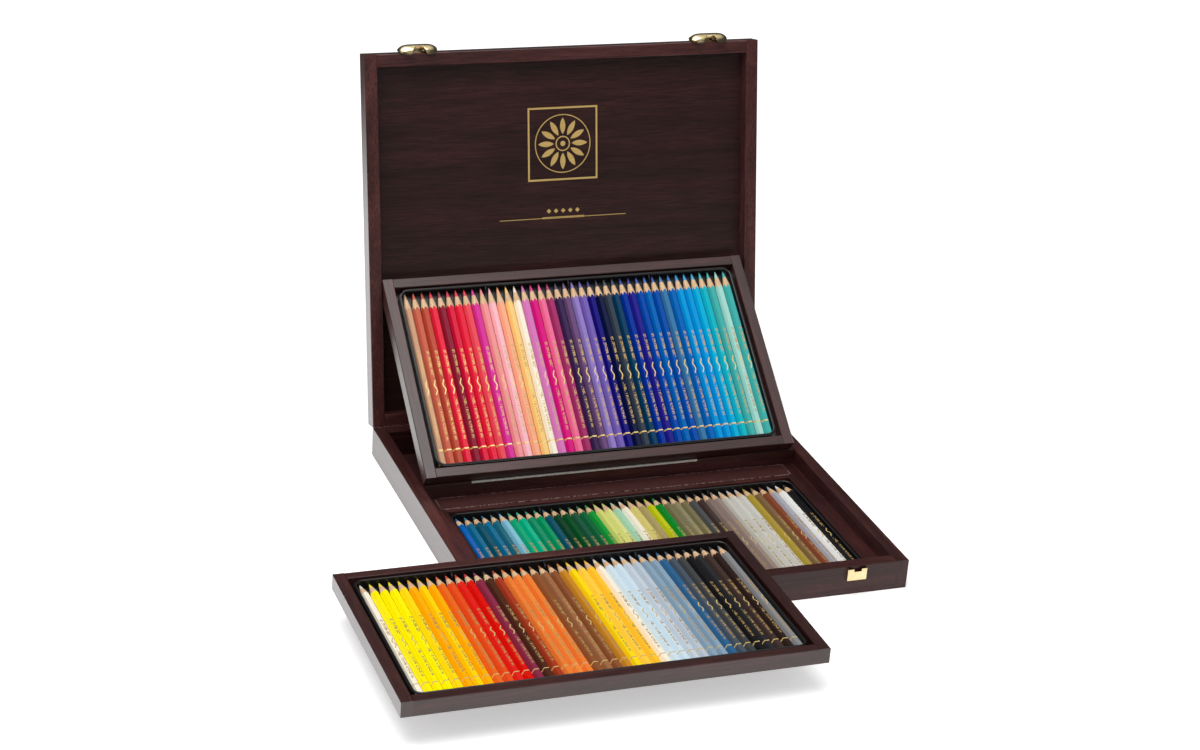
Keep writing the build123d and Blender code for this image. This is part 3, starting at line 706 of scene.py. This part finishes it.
class PBOX_OT_boards(bpy.types.Operator):
    """Stains every board, with the grain along its length."""
    bl_idname = "pbox.boards"
    bl_label = "Boards"

    def execute(self, context):
        finish = context.scene.pbox_boards
        quarter = math.pi / 2
        along_x, along_y = (0, 0, 0), (0, 0, quarter)
        tones = (finish.wood_dark_hex, finish.wood_hex, finish.wood_light_hex)
        lid_tones = (finish.wood_hex, finish.lid_hex, finish.lid_light_hex)
        panel_tones = (finish.panel_dark_hex, finish.panel_hex, finish.wood_hex)
        runs = {
            "stained_mahogany_rails": (along_x, 0.0, tones, 0.6, (
                "case_back_rail", "divider", "pit_wall", "ledge_back", "front_tray_front_rail",
                "front_tray_back_rail", "display_tray_front_rail", "display_tray_back_rail")),
            "stained_mahogany_case_front": (along_x, 0.44, tones, 0.1, ("case_front_rail",)),
            "stained_mahogany_case_right": (along_y, 0.52, tones, 0.1, ("case_right_side", "ledge_right")),
            "stained_mahogany_left": (along_y, 0.31, tones, 0.75, (
                "case_left_side", "front_tray_left_side", "ledge_left")),
            "stained_mahogany_right": (along_y, 0.83, tones, 0.6, ("front_tray_right_side",)),
            "stained_mahogany_display_sides": ((-DISPLAY_TILT, 0, quarter), 0.57, tones, 0.8, (
                "display_tray_left_side", "display_tray_right_side")),
            "stained_mahogany_lid_rails": (along_x, 0.66, lid_tones, 1.0, ("lid_front_rail", "lid_hinge_rail")),
            "stained_mahogany_lid_sides": ((0, quarter, 0), 0.19, lid_tones, 1.0, (
                "lid_left_side", "lid_right_side")),
            "stained_plywood": (along_x, 1.37, panel_tones, 0.6, (
                "case_bottom", "lid_panel", "display_tray_bottom", "front_tray_bottom", "deck")),
        }
        for name, (turn, shift, stain, coat, boards) in runs.items():
            material = stained_wood(name, turn, stain, shift, coat)
            for board in boards:
                dress(board, material)
        # The lacquer stands in a low ridge along the case's back arris, under the lid's foot. It is highest at the
        # arris and lower 0.05 mm in front of it, where the lid's corner passes as the lid closes.
        back, top, ridge, inset = HINGE_LINE.y, HINGE_LINE.z, 0.09, 0.3
        section = ((back - 1.6, top - 0.01), (back - 1.1, top + ridge * 0.5), (back - 0.5, top + ridge * 0.7),
                   (back - 0.06, top + ridge * 0.82), (back, top + ridge), (back, top - 0.01))
        ridge_piece = prism("hinge_lacquer_ridge", section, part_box("case_left_side")[0][0] / MM + inset,
                            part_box("case_right_side")[1][0] / MM - inset)
        ridge_piece.data.materials.append(stained_wood("stained_mahogany_ridge", along_x, tones, 0.2, 0.1))
        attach(ridge_piece, "case")
        return {"FINISHED"}


def insert_lip_tree(plastic):
    """Rolls a round lip along an insert's top edge and sets thin ribs on its back wall."""
    tree, sockets, given = empty_tree("insert_lip", (
        ("Width", "Float"), ("Depth", "Float"), ("Height", "Float"), ("Corner", "Float"), ("Bead", "Float"),
        ("Sink", "Float"), ("Rib", "Object"), ("Ribs", "Int"), ("Rib Pitch", "Float")))
    path = add(tree, "GeometryNodeCurvePrimitiveQuadrilateral", {
        "Width": given["Width"], "Height": given["Depth"]})
    rounded = add(tree, "GeometryNodeFilletCurve", {
        "Curve": path.outputs[0], "Count": 8, "Radius": given["Corner"]}, mode="POLY")
    section = add(tree, "GeometryNodeCurvePrimitiveCircle", {"Resolution": 14, "Radius": given["Bead"]})
    lip = add(tree, "GeometryNodeCurveToMesh", {"Curve": rounded.outputs[0], "Profile Curve": section.outputs[0]})
    middle = vector(tree, y=maths(tree, "MULTIPLY", given["Depth"], 0.5),
                    z=maths(tree, "SUBTRACT", given["Height"], given["Sink"]))
    placed = add(tree, "GeometryNodeTransform", {"Geometry": lip.outputs[0], "Translation": middle})
    smooth = add(tree, "GeometryNodeSetShadeSmooth", {"Geometry": placed.outputs[0]})
    span = maths(tree, "MULTIPLY", maths(tree, "SUBTRACT", given["Ribs"], 1.0), given["Rib Pitch"])
    start = vector(tree, maths(tree, "MULTIPLY", span, -0.5), given["Depth"])
    ribs = add(tree, "GeometryNodeInstanceOnPoints", {
        "Points": line_of_points(tree, given["Ribs"], start, given["Rib Pitch"]),
        "Instance": shape_of(tree, given["Rib"])})
    joined = add(tree, "GeometryNodeJoinGeometry")
    for part in (ribs, smooth):
        tree.links.new(part.outputs[0], joined.inputs[0])
    close_tree(tree, joined.outputs[0], plastic)
    return tree, sockets


class PBOX_OT_inserts(bpy.types.Operator):
    """Finishes the black inserts with their lips and ribs, and the two edge strips."""
    bl_idname = "pbox.inserts"
    bl_label = "Inserts and strips"

    def execute(self, context):
        finish = context.scene.pbox_boards
        sizes = context.scene.pbox_inserts
        plastic = formed_plastic("vacuum_formed_polystyrene", finish)
        # One rib: a thin fin, 6.5 mm long, with a rounded front and a rounded top.
        profile = ((0.0, 0.6), (-6.5, 0.6), (-6.5, 5.2), (-6.0, 6.6), (-4.8, 7.6), (-3.0, 8.0), (0.0, 8.0))
        rib = prism("rib_pattern", profile, -0.4, 0.4)
        tree, sockets = insert_lip_tree(plastic)
        inset = sizes.bead + 0.3
        for row, (place, body, _) in ROWS.items():
            dress(row + "_insert", plastic)
            lip = evaluated(row + "_insert_lip", tree, sockets, {
                "Width": (sizes.width - 2 * inset) * MM, "Depth": (sizes.depth - 2 * inset) * MM,
                "Height": sizes.height * MM, "Corner": (sizes.corner - inset) * MM, "Bead": sizes.bead * MM,
                "Sink": 0.45 * sizes.bead * MM, "Rib": rib, "Ribs": sizes.ribs, "Rib Pitch": sizes.rib_pitch * MM})
            lip.data.transform(place @ Matrix.Translation((0, inset * MM, 0)))
            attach(lip, body)
        bpy.data.objects.remove(rib)
        # The deck's edge strip is painted near-white, a painted reflection that makes it look bright.
        dress("deck_edge_strip", drawn_aluminium("drawn_aluminium"))
        dress("ledge_strip", pressed_leather("bonded_leather"))
        return {"FINISHED"}


def screw_shape(sizes):
    """A slotted, slightly domed head on the XY plane, in two halves with the slot between them."""
    radius, dome, gap = sizes.screw_head * MM, sizes.screw_dome * MM, sizes.slot_width * MM / 2
    steps = 8
    vertices, faces = [], []
    for side in (1, -1):
        base = len(vertices)
        edge = [math.acos(gap / radius) * (1 - 2 * i / steps) for i in range(steps + 1)]
        outline = [(side * radius * math.cos(a), radius * math.sin(a)) for a in edge]
        # Rings from under the rim up over the dome, as shares of the radius and the dome's height; then the slot.
        for scale, height in ((1.0, -0.5), (0.97, 0.55), (0.72, 0.9)):
            vertices.extend((side * gap + (x - side * gap) * scale, y * scale, dome * height) for x, y in outline)
        for scale, height in ((0.72, 1.0), (0.97, -0.5)):
            vertices.extend((side * gap, y * scale, dome * height) for _, y in outline)
        n = len(outline)
        for level in range(4):
            a, b = base + level * n, base + (level + 1) * n
            for i in range(n - 1):
                quad = (a + i, a + i + 1, b + i + 1, b + i)
                faces.append(quad if side < 0 else quad[::-1])
    return as_mesh("screw_pattern", vertices, faces)


def bow_shape(name, middle, sizes):
    """A clasp's pressed bow over the lid's top rail: a domed shell with two lobes, an arch between them and rolled
    barrels round the pin. Angles go round the bow's centre from the top of the lid towards its front."""
    half, wall = sizes.bow_width / 2, sizes.bow_wall
    across, around = 48, 24             # quads over the width and round the bow
    back_rise, front_rise = 34, 58      # degrees that the arch takes from the back and the front edge
    tuck, narrowing = 34, 0.42          # how far the ends draw back and in: degrees, and a share of the radius
    barrel, nose, inset, clear, sides = 1.55, 0.4, 1.6, 1.3, 20
    vertices, faces = [], []

    def put(x, radius, angle, up=BOW_CENTRE[0], out=BOW_CENTRE[1]):
        vertices.append((HINGE_LINE + Vector((middle + x, 0, 0)) + LID_UP * (up + radius * math.cos(angle))
                         + LID_OUT * (out + radius * math.sin(angle))) * MM)

    for depth, reach in ((0.0, half), (wall, half - wall)):
        for i in range(across + 1):
            share = math.sin(math.pi * (i / across - 0.5))
            x = reach * share
            gap = math.exp(-(abs(x) / sizes.arch) ** 6)
            start = math.radians(BOW_FROM + back_rise * gap)
            end = math.radians(BOW_TO - front_rise * gap - tuck * abs(share) ** 9)
            radius = BOW_RADIUS * (1 - narrowing * abs(share) ** 5) - depth
            for j in range(around + 1):
                put(x, radius, start + (end - start) * j / around)
    row, shell = around + 1, (around + 1) * (across + 1)
    for i in range(across):
        a, b = i * row, (i + 1) * row
        for j in range(around):
            faces.append((a + j, b + j, b + j + 1, a + j + 1))
            faces.append((shell + a + j, shell + a + j + 1, shell + b + j + 1, shell + b + j))
        for j in (0, around):
            faces.append((a + j, b + j, shell + b + j, shell + a + j))
    for i in (0, across):
        a, z = i * row, i * row + around
        faces.append(tuple(range(a, z + 1)))
        faces.append(tuple(range(shell + a, shell + z + 1)))
        faces.append((a, z, shell + z, shell + a))
    pin_up = BOW_CENTRE[0] + PIN_REACH * math.cos(math.radians(BOW_FROM))
    pin_out = BOW_CENTRE[1] + PIN_REACH * math.sin(math.radians(BOW_FROM))
    for near, far in ((-half + inset, -sizes.arch - clear), (sizes.arch + clear, half - inset)):
        base = len(vertices)
        rounds = ((near, barrel - nose), (near + nose, barrel), (far - nose, barrel), (far, barrel - nose))
        for x, radius in rounds:
            for k in range(sides):
                put(x, radius, math.tau * k / sides, pin_up, pin_out)
        for level in range(3):
            a, b = base + level * sides, base + (level + 1) * sides
            faces.extend((a + k, a + (k + 1) % sides, b + (k + 1) % sides, b + k) for k in range(sides))
        faces.append(tuple(range(base, base + sides)))
        faces.append(tuple(range(base + 3 * sides, base + 4 * sides)))
    bow = outward(as_mesh(name, vertices, faces, True))
    bow.data.set_sharp_from_angle(angle=math.radians(50))
    return bow


def screw_tree(material):
    """Sets a screw at each point of a set of points."""
    tree, sockets, given = empty_tree("screws", (
        ("Points", "Object"), ("Screw", "Object"), ("Turn", "Float"), ("Seed", "Int")))
    placed = add(tree, "GeometryNodeInstanceOnPoints", {
        "Points": shape_of(tree, given["Points"]), "Instance": shape_of(tree, given["Screw"]),
        "Rotation": vector(tree, z=random_turn(tree, given["Turn"], Seed=given["Seed"]))})
    close_tree(tree, placed.outputs[0], material)
    return tree, sockets


class PBOX_OT_brass(bpy.types.Operator):
    """Finishes the hinges, clasps and keepers, and sets their screws."""
    bl_idname = "pbox.brass"
    bl_label = "Brass fittings"

    def execute(self, context):
        finish = context.scene.pbox_boards
        sizes = context.scene.pbox_fittings
        brass = polished_brass("polished_brass", finish, 0.2)
        for fitting in ("hinge_case_leaves", "hinge_lid_leaves", "clasp_plates", "clasp_keepers"):
            dress(fitting, brass)
        pins = polished_brass("drawn_brass_wire", finish, 0.28)
        for fitting in ("hinge_pins", "clasp_pins"):
            dress(fitting, pins)
        for side in ("left", "right"):
            low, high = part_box("clasp_lever_" + side)
            bow = bow_shape("clasp_bow_" + side, (low[0] + high[0]) / 2 / MM, sizes)
            bow.data.materials.append(brass)
            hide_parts("clasp_lever_" + side)
            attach(bow, "clasp_" + side)
        # Three screws in each leaf, a little under its face.
        screw = screw_shape(sizes)
        tree, sockets = screw_tree(brass)
        for body, place, along in (("case", Matrix.Translation(HINGE_LINE * MM), -SCREW_REACH),
                                   ("lid", LID_PLANE, SCREW_REACH)):
            marks = as_mesh(body + "_screw_places", [
                ((middle + aside) * MM, along * MM, -SCREW_SINK * MM) for middle in HINGE_MIDDLES
                for aside in (-SCREW_SPREAD, 0, SCREW_SPREAD)], [])
            screws = evaluated(body + "_hinge_screws", tree, sockets, {
                "Points": marks, "Screw": screw, "Turn": math.pi / 2, "Seed": 3})
            screws.data.transform(place)
            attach(screws, body)
            bpy.data.objects.remove(marks)
        bpy.data.objects.remove(screw)
        return {"FINISHED"}


class PBOX_OT_emblem(bpy.types.Operator):
    """Lays a plain gilt rosette and a thin line on the lid's panel."""
    bl_idname = "pbox.emblem"
    bl_label = "Lid ornament"

    def execute(self, context):
        sizes = context.scene.pbox_emblem
        finish = context.scene.pbox_boards
        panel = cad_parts["lid_panel"].data.vertices
        face = max((v.co - HINGE_LINE * MM).dot(LID_OUT) for v in panel) / MM
        vertices, faces = [], []

        def loop(points):
            """A flat shape with a thin edge, given by its outline seen from the front."""
            base, n = len(vertices), len(points)
            for lift in (-0.02, sizes.leaf):
                for x, up in points:
                    vertices.append((HINGE_LINE + Vector((x, 0, 0)) + LID_UP * up + LID_OUT * (face + lift)) * MM)
            faces.append(tuple(base + n + i for i in range(n)))
            for i in range(n):
                j = (i + 1) % n
                faces.append((base + i, base + j, base + n + j, base + n + i))

        def polar(radius, bearing, aside=0.0):
            """A point of the rosette, by its place along and beside a ray from the middle."""
            return (radius * math.cos(bearing) - aside * math.sin(bearing),
                    sizes.rise + radius * math.sin(bearing) + aside * math.cos(bearing))

        def ring(outer, inner, count=64):
            """A ring made of quads."""
            for i in range(count):
                a, b = (math.tau * k / count for k in (i, i + 1))
                loop([polar(outer, a), polar(outer, b), polar(inner, b), polar(inner, a)])

        def bar(x, up, half_x, half_up):
            """A straight stroke, by its middle and half sizes."""
            loop([(x - half_x, up - half_up), (x + half_x, up - half_up), (x + half_x, up + half_up),
                  (x - half_x, up + half_up)])

        # A square frame round a rosette of twelve petals, over a line with a broader middle.
        reach, edge = sizes.reach, sizes.frame_line / 2
        for side in (-1, 1):
            bar(0, sizes.rise + side * (reach - edge), reach, edge)
            bar(side * (reach - edge), sizes.rise, edge, reach - 2 * edge)
        circle = reach * 0.8
        ring(circle, circle - 0.9)
        ring(circle * 0.26, circle * 0.22, 32)
        petals, petal_from, petal_length, petal_half, hub = 12, 0.32, 0.56, 0.095, 2.4
        for petal in range(petals):
            side = [(circle * (petal_from + petal_length * t), circle * petal_half * math.sin(math.pi * t) ** 0.8)
                    for t in (i / 12 for i in range(13))]
            outline = side + [(r, -w) for r, w in reversed(side[1:-1])]
            loop([polar(r, math.tau * petal / petals, w) for r, w in outline])
        loop([polar(hub, math.tau * i / 24) for i in range(24)])
        low, diamond, diamond_rise = sizes.line_rise, 2.2, 6.5
        bar(0, low, sizes.line_length / 2, 0.3)
        bar(0, low + 0.2, sizes.line_length / 6, 0.9)
        for x in (-14, -7, 0, 7, 14):
            middle = low + diamond_rise
            loop([(x - diamond, middle), (x, middle - diamond), (x + diamond, middle), (x, middle + diamond)])
        emblem = as_mesh("lid_ornament", vertices, faces)
        emblem.data.materials.append(stamped_gilt("stamped_gilt", finish))
        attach(emblem, "lid")
        return {"FINISHED"}


# -------------------- stage


LAMPS = (("key", (-0.5, -0.25, 1.9), 1.6), ("side", (-2.2, -0.9, 1.3), 1.4), ("front", (0.3, -2.3, 1.5), 1.4))
LAMPS_AIM = Vector((0, 0, 0.05))
FLOOR_REACH = 14.0
# The camera fitted to the photograph: degrees, millimetres, and pixels of its 1200 x 750 frame.
CAMERA_YAW, CAMERA_PITCH, CAMERA_ROLL = 22.12, 24.51, 4.65
CAMERA_EYE = Vector((-805.1, -1913.6, 1077.7))
PHOTO_WIDTH, PHOTO_HEIGHT = 1200, 750
LENS_CENTRE = (612.3, 382.4)


class PBOX_OT_stage(bpy.types.Operator):
    """Sets the white floor, the soft lamps, the pale surroundings and the camera."""
    bl_idname = "pbox.stage"
    bl_label = "Stage"

    @staticmethod
    def seen(tree, path):
        """1 for the rays that look at a surface or through it, 0 for those that light it."""
        first = maths(tree, "MAXIMUM", path["Is Camera Ray"], path["Is Glossy Ray"])
        return maths(tree, "MAXIMUM", first, path["Is Transmission Ray"])

    def execute(self, context):
        light = context.scene.pbox_light
        floor = as_mesh("floor", [(x * FLOOR_REACH, y * FLOOR_REACH, 0)
                                  for x, y in ((-1, -1), (1, -1), (1, 1), (-1, 1))], [(0, 1, 2, 3)])
        material, tree, shader = blank("white_sweep")
        path = add(tree, "ShaderNodeLightPath").outputs
        far = add(tree, "ShaderNodeVectorMath", {0: place_on_object(tree)}, operation="LENGTH").outputs["Value"]
        # The sweep stays white to the camera where the lamps no longer reach it.
        edge = ranged(tree, far, light.lift, 0.75, 0.5, 2.4, interpolation_type="SMOOTHSTEP")
        feed(tree, shader, {
            "Base Color": linear("#FAFAFA"), "Roughness": 0.9, "Specular IOR Level": 0.0,
            "Emission Color": (1, 1, 1, 1),
            "Emission Strength": maths(tree, "MULTIPLY", self.seen(tree, path), edge)})
        # In the lacquer's reflections the white table ends about a metre away, and the room beyond is dim.
        beyond = ranged(tree, far, 0.0, 1.0, 0.75, 1.35, interpolation_type="SMOOTHSTEP")
        dim = maths(tree, "MULTIPLY", beyond, path["Is Glossy Ray"])
        room = add(tree, "ShaderNodeEmission", {"Color": (1, 1, 1, 1), "Strength": light.room})
        mixed = add(tree, "ShaderNodeMixShader", {0: dim, 1: shader.outputs[0], 2: room.outputs[0]})
        tree.links.new(mixed.outputs[0], tree.nodes["Material Output"].inputs[0])
        floor.data.materials.append(material)

        world = bpy.data.worlds.new("studio_air")
        context.scene.world = world
        world.use_nodes = True
        tree = world.node_tree
        path = add(tree, "ShaderNodeLightPath").outputs
        sky = add(tree, "ShaderNodeSeparateXYZ", {0: add(tree, "ShaderNodeTexCoord").outputs["Generated"]})
        # Polished surfaces see a dim room near the horizon and a white ceiling.
        ceiling = ranged(tree, sky.outputs[2], light.room, 0.9, 0.55, 1.0, interpolation_type="SMOOTHSTEP")
        white = add(tree, "ShaderNodeMix", {0: path["Is Camera Ray"], 2: ceiling, 3: 1.0}, data_type="FLOAT")
        level = add(tree, "ShaderNodeMix", {0: self.seen(tree, path), 2: light.air, 3: white.outputs[0]},
                    data_type="FLOAT")
        feed(tree, tree.nodes["Background"], {0: (1, 1, 1, 1), 1: level.outputs[0]})

        for name, spot, size in LAMPS:
            lamp = bpy.data.lights.new(name, "AREA")
            lamp.energy = getattr(light, name)
            lamp.size = size
            holder = linked(name, lamp)
            holder.location = spot
            holder.rotation_euler = (LAMPS_AIM - Vector(spot)).to_track_quat("-Z", "Y").to_euler()

        yaw, pitch, roll = (math.radians(a) for a in (CAMERA_YAW, CAMERA_PITCH, CAMERA_ROLL))
        ahead = Vector((math.sin(yaw) * math.cos(pitch), math.cos(yaw) * math.cos(pitch), -math.sin(pitch)))
        right = Vector((math.cos(yaw), -math.sin(yaw), 0))
        up = right.cross(ahead)
        right, up = (math.cos(roll) * right + math.sin(roll) * up, -math.sin(roll) * right + math.cos(roll) * up)
        lens = bpy.data.cameras.new("camera")
        lens.lens = light.focal
        lens.sensor_width = 36
        lens.sensor_fit = "HORIZONTAL"
        lens.shift_x = (PHOTO_WIDTH / 2 - LENS_CENTRE[0]) / PHOTO_WIDTH
        lens.shift_y = (LENS_CENTRE[1] - PHOTO_HEIGHT / 2) / PHOTO_WIDTH
        lens.clip_end = 60
        camera = linked("camera", lens)
        axes = Matrix((right, up, -ahead)).transposed().to_4x4()
        camera.matrix_world = Matrix.Translation(CAMERA_EYE * MM) @ axes
        context.scene.camera = camera
        context.scene.view_settings.view_transform = "Standard"
        return {"FINISHED"}


# -------------------- panel and registration

GROUPS = (("pbox_boards", BoardFinish), ("pbox_pencils", PencilSizes), ("pbox_inserts", InsertSizes),
          ("pbox_fittings", FittingSizes), ("pbox_emblem", EmblemSizes), ("pbox_light", StageLight))
OPERATORS = (PBOX_OT_stage, PBOX_OT_boards, PBOX_OT_inserts, PBOX_OT_brass, PBOX_OT_emblem, PBOX_OT_pencils)


class PBOX_PT_panel(bpy.types.Panel):
    """Lists the pieces of the pencil box."""
    bl_idname = "PBOX_PT_panel"
    bl_label = "Pencil Box"
    bl_space_type = "VIEW_3D"
    bl_region_type = "UI"
    bl_category = "Pencil Box"

    def draw(self, context):
        for operator in OPERATORS:
            self.layout.operator(operator.bl_idname)


def register():
    for name, group in GROUPS:
        bpy.utils.register_class(group)
        setattr(bpy.types.Scene, name, PointerProperty(type=group))
    for operator in OPERATORS:
        bpy.utils.register_class(operator)
    bpy.utils.register_class(PBOX_PT_panel)


def unregister():
    bpy.utils.unregister_class(PBOX_PT_panel)
    for operator in reversed(OPERATORS):
        bpy.utils.unregister_class(operator)
    for name, group in reversed(GROUPS):
        delattr(bpy.types.Scene, name)
        bpy.utils.unregister_class(group)


def main():
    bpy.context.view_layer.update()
    register()
    for operator in OPERATORS:
        getattr(bpy.ops.pbox, operator.bl_idname.split(".")[1])()


if __name__ == "__main__":
    main()
